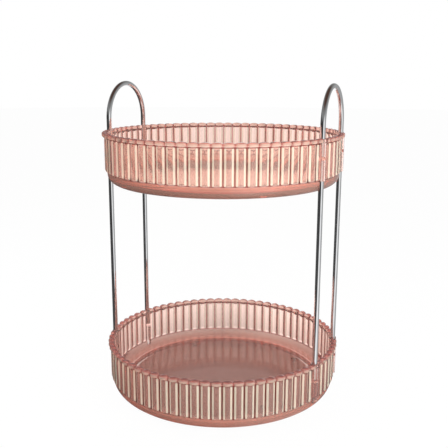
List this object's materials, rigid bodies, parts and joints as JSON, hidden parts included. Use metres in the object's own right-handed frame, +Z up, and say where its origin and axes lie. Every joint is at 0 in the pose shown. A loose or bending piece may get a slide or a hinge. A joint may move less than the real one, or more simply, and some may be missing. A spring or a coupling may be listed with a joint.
{
  "type": "makeup organizer",
  "caption": "Round two-tier organizer: fluted clear trays on plated rods, arched wire handles, turning on a ball-bearing base.",
  "frame": {"origin": "on the table, in the middle of the feet, on the axis that the trays turn about", "axes": "+Z up along the turning axis; the wire arches stand at -X (left) and +X (right) at rest; -Y is the front"},
  "size_m": [0.24, 0.24, 0.3235],
  "materials": {
    "rose_clear_plastic": "clear rose-tinted moulded plastic, polished",
    "rose_solid_plastic": "opaque rose moulded plastic, satin",
    "chrome_wire": "bright chrome plating on steel wire",
    "bearing_steel": "polished bearing balls",
    "cage_nylon": "natural nylon, satin",
    "zinc_steel": "bright zinc plating",
    "foot_rubber": "soft grey rubber, matt"
  },
  "bodies": {
    "base": {"turntable_base": "rose_solid_plastic", "foot_pads": "foot_rubber"},
    "ball_ring": {"ball_cage": "cage_nylon", "bearing_balls": "bearing_steel"},
    "organizer": {"turntable_plate": "rose_solid_plastic", "plate_screws": "zinc_steel", "pivot_screw": "zinc_steel", "pivot_washer": "zinc_steel", "lower_tray": "rose_clear_plastic", "upper_tray": "rose_clear_plastic", "front_left_rod": "chrome_wire", "front_right_rod": "chrome_wire", "back_left_rod": "chrome_wire", "back_right_rod": "chrome_wire", "left_handle": "chrome_wire", "right_handle": "chrome_wire"}
  },
  "joints": [
    {"name": "turntable_turn", "type": "hinge", "parent": "base", "child": "organizer", "pos_m": [0, 0, 0.007], "axis": [0, 0, 1], "continuous": true},
    {"name": "ball_ring_turn", "type": "hinge", "parent": "base", "child": "ball_ring", "pos_m": [0, 0, 0.007], "axis": [0, 0, 1], "continuous": true}
  ],
  "couplings": [
    {"joint": "ball_ring_turn", "follows": "turntable_turn", "ratio": 0.5}
  ]
}
